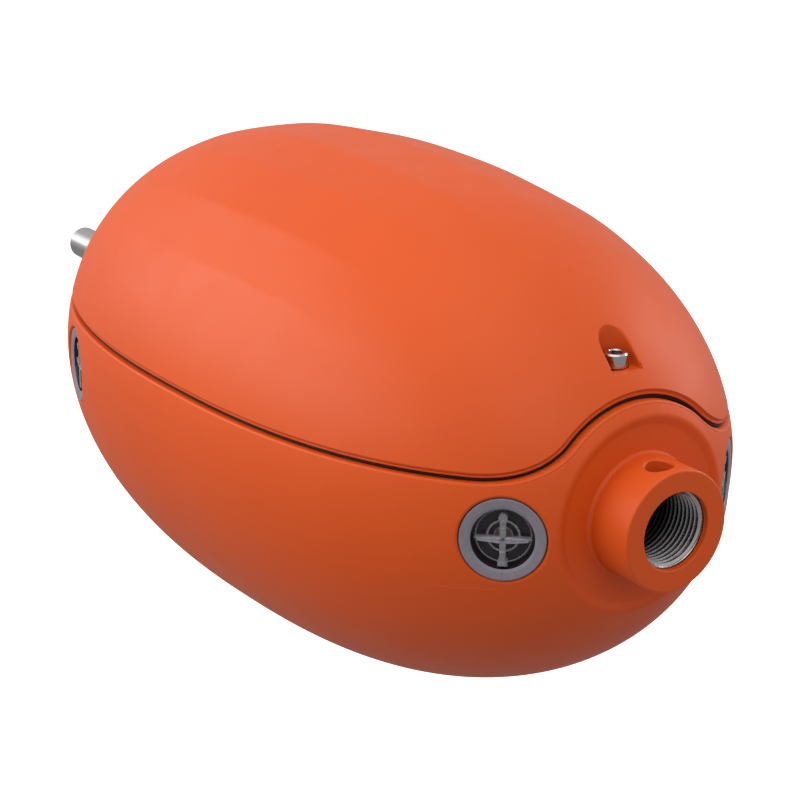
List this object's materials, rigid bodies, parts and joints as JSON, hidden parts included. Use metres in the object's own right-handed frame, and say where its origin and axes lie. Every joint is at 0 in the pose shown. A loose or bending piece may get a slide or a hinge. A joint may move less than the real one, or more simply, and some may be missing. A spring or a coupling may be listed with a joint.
{
  "type": "emergency position beacon",
  "caption": "Egg-shaped sealed marker beacon in two bolted shells, with lamp windows at nose and tail, a threaded nose socket and a steel push rod.",
  "frame": {"origin": "centre of the nose boss front face, on the axis of the threaded socket", "axes": "+X out of the nose along the socket axis, +Z towards the top cover, +Y to the left"},
  "size_m": [0.4173, 0.1898, 0.1898],
  "materials": {
    "orange_paint": "satin powder coat",
    "black_rubber": "matt",
    "stainless_steel": "turned and lightly brushed",
    "brass": "machined",
    "lamp_window": "clear in the middle, frosted rim",
    "circuit_board": "solder mask",
    "black_plastic": "moulded",
    "lamp_chip": "phosphor",
    "chassis_aluminium": "milled",
    "tinned_shield": "tin plate",
    "antenna_ceramic": "fired",
    "cell_wrap": "shrink sleeve",
    "lead_jacket": "extruded"
  },
  "bodies": {
    "case": {"lower_case": "orange_paint", "seal_gasket": "black_rubber", "thread_bush": "stainless_steel", "antenna_connector": "brass", "screw_insert_front": "brass", "screw_insert_rear": "brass", "lamp_window_front_left": "lamp_window", "lamp_seal_front_left": "black_rubber", "lamp_led_front_left": "lamp_chip", "lamp_board_front_left": "black_plastic", "lamp_retainer_front_left": "stainless_steel", "lamp_lead_front_left": "lead_jacket", "lamp_window_front_right": "lamp_window", "lamp_seal_front_right": "black_rubber", "lamp_led_front_right": "lamp_chip", "lamp_board_front_right": "black_plastic", "lamp_retainer_front_right": "stainless_steel", "lamp_lead_front_right": "lead_jacket", "lamp_window_rear_left": "lamp_window", "lamp_seal_rear_left": "black_rubber", "lamp_led_rear_left": "lamp_chip", "lamp_board_rear_left": "black_plastic", "lamp_retainer_rear_left": "stainless_steel", "lamp_lead_rear_left": "lead_jacket", "lamp_window_rear_right": "lamp_window", "lamp_seal_rear_right": "black_rubber", "lamp_led_rear_right": "lamp_chip", "lamp_board_rear_right": "black_plastic", "lamp_retainer_rear_right": "stainless_steel", "lamp_lead_rear_right": "lead_jacket", "rod_gland_nut": "stainless_steel", "rod_seal": "black_rubber", "rod_switch": "black_plastic", "chassis_plate": "chassis_aluminium", "main_board": "circuit_board", "rf_shield": "tinned_shield", "antenna_bracket": "chassis_aluminium", "gnss_antenna": "antenna_ceramic", "battery_holder": "black_plastic", "battery_strap": "black_rubber", "antenna_lead": "lead_jacket", "battery_lead": "lead_jacket", "chassis_screw_1": "stainless_steel", "chassis_screw_2": "stainless_steel", "chassis_screw_3": "stainless_steel", "chassis_screw_4": "stainless_steel", "battery_cell_rear_right": "cell_wrap", "battery_cell_rear_left": "cell_wrap", "battery_cell_front_right": "cell_wrap", "battery_cell_front_left": "cell_wrap"},
    "cover": {"top_cover": "orange_paint"},
    "front_screw": {"cover_screw_front": "stainless_steel", "screw_seal_front": "black_rubber"},
    "rear_screw": {"cover_screw_rear": "stainless_steel", "screw_seal_rear": "black_rubber"},
    "push_rod": {"tail_rod": "stainless_steel", "rod_stop_ring": "stainless_steel", "switch_plunger": "brass"}
  },
  "joints": [
    {"name": "cover_lift", "type": "slide", "parent": "case", "child": "cover", "axis": [0, 0, 1], "range_m": [0, 0.12]},
    {"name": "front_screw_rise", "type": "slide", "parent": "cover", "child": "front_screw", "axis": [0, 0, 1], "range_m": [0, 0.01]},
    {"name": "rear_screw_rise", "type": "slide", "parent": "cover", "child": "rear_screw", "axis": [0, 0, 1], "range_m": [0, 0.0055]},
    {"name": "rod_push", "type": "slide", "parent": "case", "child": "push_rod", "axis": [1, 0, 0], "range_m": [0, 0.005], "stiffness_N_per_m": 800, "springref_m": -0.006}
  ]
}
